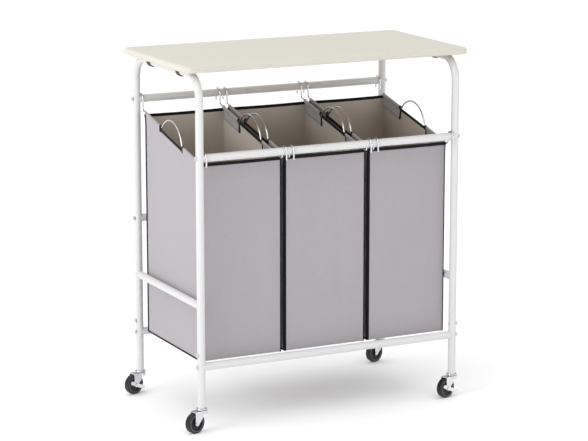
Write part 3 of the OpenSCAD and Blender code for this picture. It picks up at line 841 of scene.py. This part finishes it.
def board_cover():
    """Cotton cover over the pad: crowned edges, and a gathered hem with its elastic underneath."""
    low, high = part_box("board_cover")
    half_x, half_y = high.x, high.y
    top, bottom = high.z, low.z + 0.1 * MM

    def soft(depth):
        return lambda k, x, y: depth * MM * noise.noise(Vector((x * 9, y * 9, 4.2)))

    def gather(depth):
        def fold(k, x, y):
            phase = 2 * noise.noise(Vector((k * 0.21, 0, 0)))
            return -depth * MM * (0.5 + 0.5 * math.sin(k * 1.35 + phase))
        return fold

    profile = [(184, -0.25, soft(0.15)), (150, -0.25, soft(0.25)), (110, -0.25, soft(0.3)),
               (70, -0.2, soft(0.3)), (40, -0.15, soft(0.3)), (22, -0.1, soft(0.25)), (13, -0.1, soft(0.2)),
               (8, -0.25, soft(0.12)), (5, -0.6, soft(0.06)), (3, -1.2, flat), (1.5, -2.2, flat),
               (0.5, -3.6, flat), (0.1, -5.4, flat), (0, -8, flat), (0, -10.5, flat), (0.2, -12.6, flat),
               (0.9, -14.4, flat), (2.2, -15.6, flat)]
    rings = [board_ring(inset * MM, top + up * MM, half_x, half_y, ripple) for inset, up, ripple in profile]
    for inset, depth in ((4, 0.15), (7, 0.5), (10.5, 0.9), (14, 1.2), (17, 1.3)):
        rings.append(board_ring(inset * MM, bottom - 0.2 * MM, half_x, half_y, gather(depth)))
    # the casing of the elastic, a small roll at the hem's inner edge
    for inset, up in ((18.4, -1.0), (20.0, -1.6), (21.2, -0.8), (21.2, 0.4), (20.0, 0.7)):
        rings.append(board_ring(inset * MM, bottom + up * MM, half_x, half_y, gather(1.0)))
    count = len(rings[0])
    points = [p for ring in rings for p in ring]
    uvs = [(p.x, p.y + p.z) for p in points]
    faces = [tuple(range(count))]
    for i in range(len(rings) - 1):
        for k in range(count):
            a, b = i * count + k, i * count + (k + 1) % count
            faces.append((a, a + count, b + count, b))
    cover = make_piece("board_cotton_cover", points, faces, [cover_cotton], uvs, sharp=70)
    thicken(cover, COVER_T)
    return cover


def board_pad():
    low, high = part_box("board_pad")
    profile = ((120, 0), (40, 0), (4, 0), (0.8, 0.2), (0, 0.75), (0.8, 1.3), (4, 1.42), (40, 1.45),
               (120, 1.45))
    rings = [board_ring(inset * MM, low.z + up * MM, high.x, high.y, flat) for inset, up in profile]
    solid = Solid()
    solid.sweep(rings, [0.01 * k for k in range(len(rings))])
    solid.uvs = [(p.x, p.y) for p in solid.points]
    return solid.piece("board_felt_pad", [pad_felt], sharp=60)


def make_board():
    cover, pad = board_cover(), board_pad()
    for piece, slot, node in ((cover, "board_cotton", "board_cover"), (pad, "pad_felt", "board_pad")):
        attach(piece, "frame")
        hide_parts(node)


# Frame details --------------------------------------------------------------------------------


def weld_beads():
    """A bead round each end of the two side rails, where they are welded to the legs."""
    solid = Solid()
    count = 40
    for side in SIDES:
        low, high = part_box(f"side_rail_{side}")
        centre = (low + high) / 2
        r = (high.x - low.x) / 2
        leg_y = (middle(f"lower_leg_rear_{side}").y - middle(f"lower_leg_front_{side}").y) / 2
        for end in ENDS.values():
            path = []
            for k in range(count):
                angle = 2 * math.pi * k / count
                x, z = (r + 0.2 * MM) * math.cos(angle), (r + 0.2 * MM) * math.sin(angle)
                reach = math.sqrt(max(0.0, (r + 0.2 * MM) ** 2 - x * x))
                path.append(Vector((centre.x + x, end * (leg_y - reach), centre.z + z)))
            sections, lengths = [], []
            for k in range(count + 1):
                here, ahead = path[k % count], path[(k + 1) % count]
                along = (ahead - path[k - 1 if k % count else count - 1]).normalized()
                outward = (here - Vector((centre.x, here.y, centre.z))).normalized()
                across = along.cross(outward).normalized()
                size = (1.15 + 0.2 * math.sin(k * 2.1)) * MM
                angles = [math.pi * j / 4 for j in range(8)]
                ways = [outward * math.cos(angle) + across * math.sin(angle) for angle in angles]
                sections.append([here + way * size for way in ways])
                lengths.append(k * 1.5 * MM)
            solid.sweep(sections, lengths)
    beads = solid.piece("side_rail_weld_beads", [coat], sharp=60)
    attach(beads, "frame")


# Stage ----------------------------------------------------------------------------------------


def area_light(name, place, aim, size, power, colour=(1, 1, 1)):
    data = bpy.data.lights.new(name, "AREA")
    data.shape = "RECTANGLE"
    data.size, data.size_y = size
    data.energy = power
    data.color = colour
    light = bpy.data.objects.new(name, data)
    light.location = place
    light.rotation_euler = (Vector(aim) - Vector(place)).to_track_quat("-Z", "Y").to_euler()
    bpy.context.scene.collection.objects.link(light)


SKY_POWER = 1.55
KEY_POWER = 78
FILL_POWER = 30
FLOOR_HALF = 30


def make_stage():
    n = Nodes("floor", Roughness=0.9, Specular_IOR_Level=0.1, Emission_Color=(1, 1, 1, 1),
              Emission_Strength=0.1)
    n.set("Base Color", n.mix(n.noise(2, 2), (0.90, 0.90, 0.90, 1), (0.92, 0.92, 0.92, 1)))
    corners = [(x * FLOOR_HALF, y * FLOOR_HALF, 0) for x, y in ((-1, -1), (1, -1), (1, 1), (-1, 1))]
    floor = make_piece("floor", corners, [(0, 1, 2, 3)], [n.material])
    world = bpy.data.worlds.new("studio")
    world.use_nodes = True
    tree = world.node_tree
    # a bright ceiling and a bright horizon, with softer walls between them
    where = tree.nodes.new("ShaderNodeTexCoord")
    split = tree.nodes.new("ShaderNodeSeparateXYZ")
    ramp = tree.nodes.new("ShaderNodeValToRGB")
    power = tree.nodes.new("ShaderNodeMath")
    power.operation = "MULTIPLY"
    power.inputs[1].default_value = SKY_POWER
    stops = ((0.0, 0.72), (0.05, 0.72), (0.11, 0.18), (1.0, 1.0))
    while len(ramp.color_ramp.elements) < len(stops):
        ramp.color_ramp.elements.new(0.5)
    for element, (place, value) in zip(ramp.color_ramp.elements, stops):
        element.position = place
        element.color = (value, value, value, 1)
    tree.links.new(where.outputs["Generated"], split.inputs[0])
    tree.links.new(split.outputs["Z"], ramp.inputs[0])
    tree.links.new(ramp.outputs[0], power.inputs[0])
    background = tree.nodes["Background"]
    background.inputs["Color"].default_value = (1, 1, 1, 1)
    tree.links.new(power.outputs[0], background.inputs["Strength"])
    bpy.context.scene.world = world
    area_light("key", (-4.0, -0.8, 1.9), (0, 0, 0.45), (2.6, 2.6), KEY_POWER)
    area_light("fill", (1.4, -4.6, 0.95), (0, 0, 0.5), (3.2, 1.5), FILL_POWER)
    bpy.context.scene.view_settings.view_transform = "Standard"


make_camera()
dress_frame()
for bag in BAGS:
    make_bag(bag)
make_board()
weld_beads()
make_stage()
